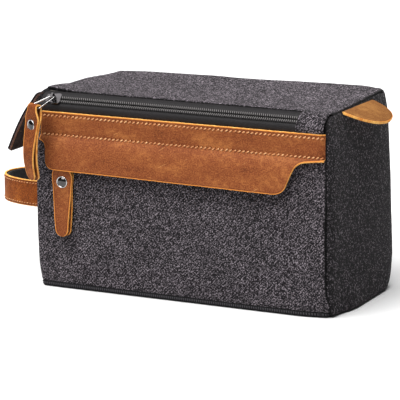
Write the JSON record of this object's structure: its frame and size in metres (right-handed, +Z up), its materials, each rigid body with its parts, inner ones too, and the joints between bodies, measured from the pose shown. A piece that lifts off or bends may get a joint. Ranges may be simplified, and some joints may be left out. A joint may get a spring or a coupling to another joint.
{
  "type": "shaving kit bag",
  "caption": "Boxy canvas shaving kit bag with a corner zip, a leather strip and flap over a zipped front pocket, leather pulls, a side handle and a grab tab.",
  "frame": {"origin": "middle of the underside of the base", "axes": "+X towards the end with the grab tab, +Y from the zipped front to the back, +Z up"},
  "size_m": [0.3485, 0.1554, 0.1658],
  "materials": {
    "canvas": "washed charcoal canvas, matt, with light flecks",
    "leather": "waxed orange-brown leather, mottled, light raw edges",
    "dark_leather": "dark brown flesh side",
    "zip_tape": "black woven tape",
    "zip_coil": "black nylon coil",
    "black_cloth": "black binding cloth",
    "lining_cloth": "plain woven lining",
    "board": "plain board",
    "hardware": "polished dark nickel"
  },
  "bodies": {
    "body": {"front_panel": "canvas", "back_panel": "canvas", "left_end_panel": "canvas", "right_end_panel": "canvas", "top_panel": "canvas", "bottom_panel": "canvas", "base_welt": "black_cloth", "base_board": "board", "lining": "lining_cloth", "left_tape_end": "zip_tape", "right_tape_end": "zip_tape", "zip_end_cover": "canvas", "leather_strip": "leather", "upper_pocket_tape": "zip_tape", "lower_pocket_tape": "zip_tape", "upper_pocket_teeth": "zip_coil", "lower_pocket_teeth": "zip_coil", "pocket_pouch": "lining_cloth", "handle_front_foot": "leather", "handle_back_foot": "leather"},
    "upper_lip": {"upper_zip_tape": "zip_tape", "upper_zip_teeth": "zip_coil"},
    "lower_lip": {"lower_zip_tape": "zip_tape", "lower_zip_teeth": "zip_coil"},
    "main_slider": {"main_slider": "hardware"},
    "main_ring": {"main_pull_ring": "hardware"},
    "main_pull": {"main_pull": "leather", "main_pull_rivet": "hardware"},
    "flap": {"flap": "leather"},
    "pocket_slider": {"pocket_slider": "hardware"},
    "pocket_pull": {"pocket_pull_ring": "hardware", "pocket_pull": "leather", "pocket_pull_rivet": "hardware"},
    "zip_tail": {"zip_tail_canvas": "canvas", "zip_tail_leather": "dark_leather"},
    "right_tab": {"right_tab": "leather"},
    "handle": {"handle_strap": "leather", "handle_lining": "black_cloth"}
  },
  "joints": [
    {"name": "main_slider_travel", "type": "slide", "parent": "body", "child": "main_slider", "axis": [1, 0, 0], "range_m": [0, 0.209]},
    {"name": "main_ring_swing", "type": "hinge", "parent": "main_slider", "child": "main_ring", "pos_m": [-0.1145, -0.067, 0.16231], "axis": [-0.8829, 0.4695, 0], "range_deg": [0, 150]},
    {"name": "main_pull_swing", "type": "hinge", "parent": "main_ring", "child": "main_pull", "pos_m": [-0.12281, -0.08263, 0.1556], "axis": [-0.8829, 0.4695, 0], "range_deg": [0, 60]},
    {"name": "upper_lip_fold", "type": "hinge", "parent": "body", "child": "upper_lip", "pos_m": [0, -0.0508, 0.1644], "axis": [-1, 0, 0], "range_deg": [0, 105]},
    {"name": "lower_lip_fold", "type": "hinge", "parent": "body", "child": "lower_lip", "pos_m": [0, -0.0672, 0.1512], "axis": [1, 0, 0], "range_deg": [0, 90]},
    {"name": "flap_lift", "type": "hinge", "parent": "body", "child": "flap", "pos_m": [0, -0.0696, 0.13], "axis": [-1, 0, 0], "range_deg": [0, 16]},
    {"name": "pocket_slider_travel", "type": "slide", "parent": "body", "child": "pocket_slider", "axis": [1, 0, 0], "range_m": [0, 0.186]},
    {"name": "pocket_pull_swing", "type": "hinge", "parent": "pocket_slider", "child": "pocket_pull", "pos_m": [-0.1045, -0.0673, 0.117], "axis": [0, 1, 0], "range_deg": [-25, 25]},
    {"name": "zip_tail_flex", "type": "hinge", "parent": "body", "child": "zip_tail", "pos_m": [-0.1313, -0.049, 0.1623], "axis": [0, 1, 0], "range_deg": [-12, 60], "stiffness_Nm_per_rad": 0.02, "springref_deg": 1.72},
    {"name": "right_tab_flex", "type": "hinge", "parent": "body", "child": "right_tab", "pos_m": [0.1311, -0.001, 0.1636], "axis": [0, 1, 0], "range_deg": [-30, 35], "stiffness_Nm_per_rad": 0.01, "springref_deg": -1.72},
    {"name": "handle_flex", "type": "hinge", "parent": "body", "child": "handle", "pos_m": [-0.143, -0.009, 0.0735], "axis": [0, 1, 0], "range_deg": [-20, 20], "stiffness_Nm_per_rad": 0.15, "springref_deg": 0.86}
  ],
  "couplings": [
    {"joint": "lower_lip_fold", "follows": "upper_lip_fold", "ratio": 0.85}
  ]
}
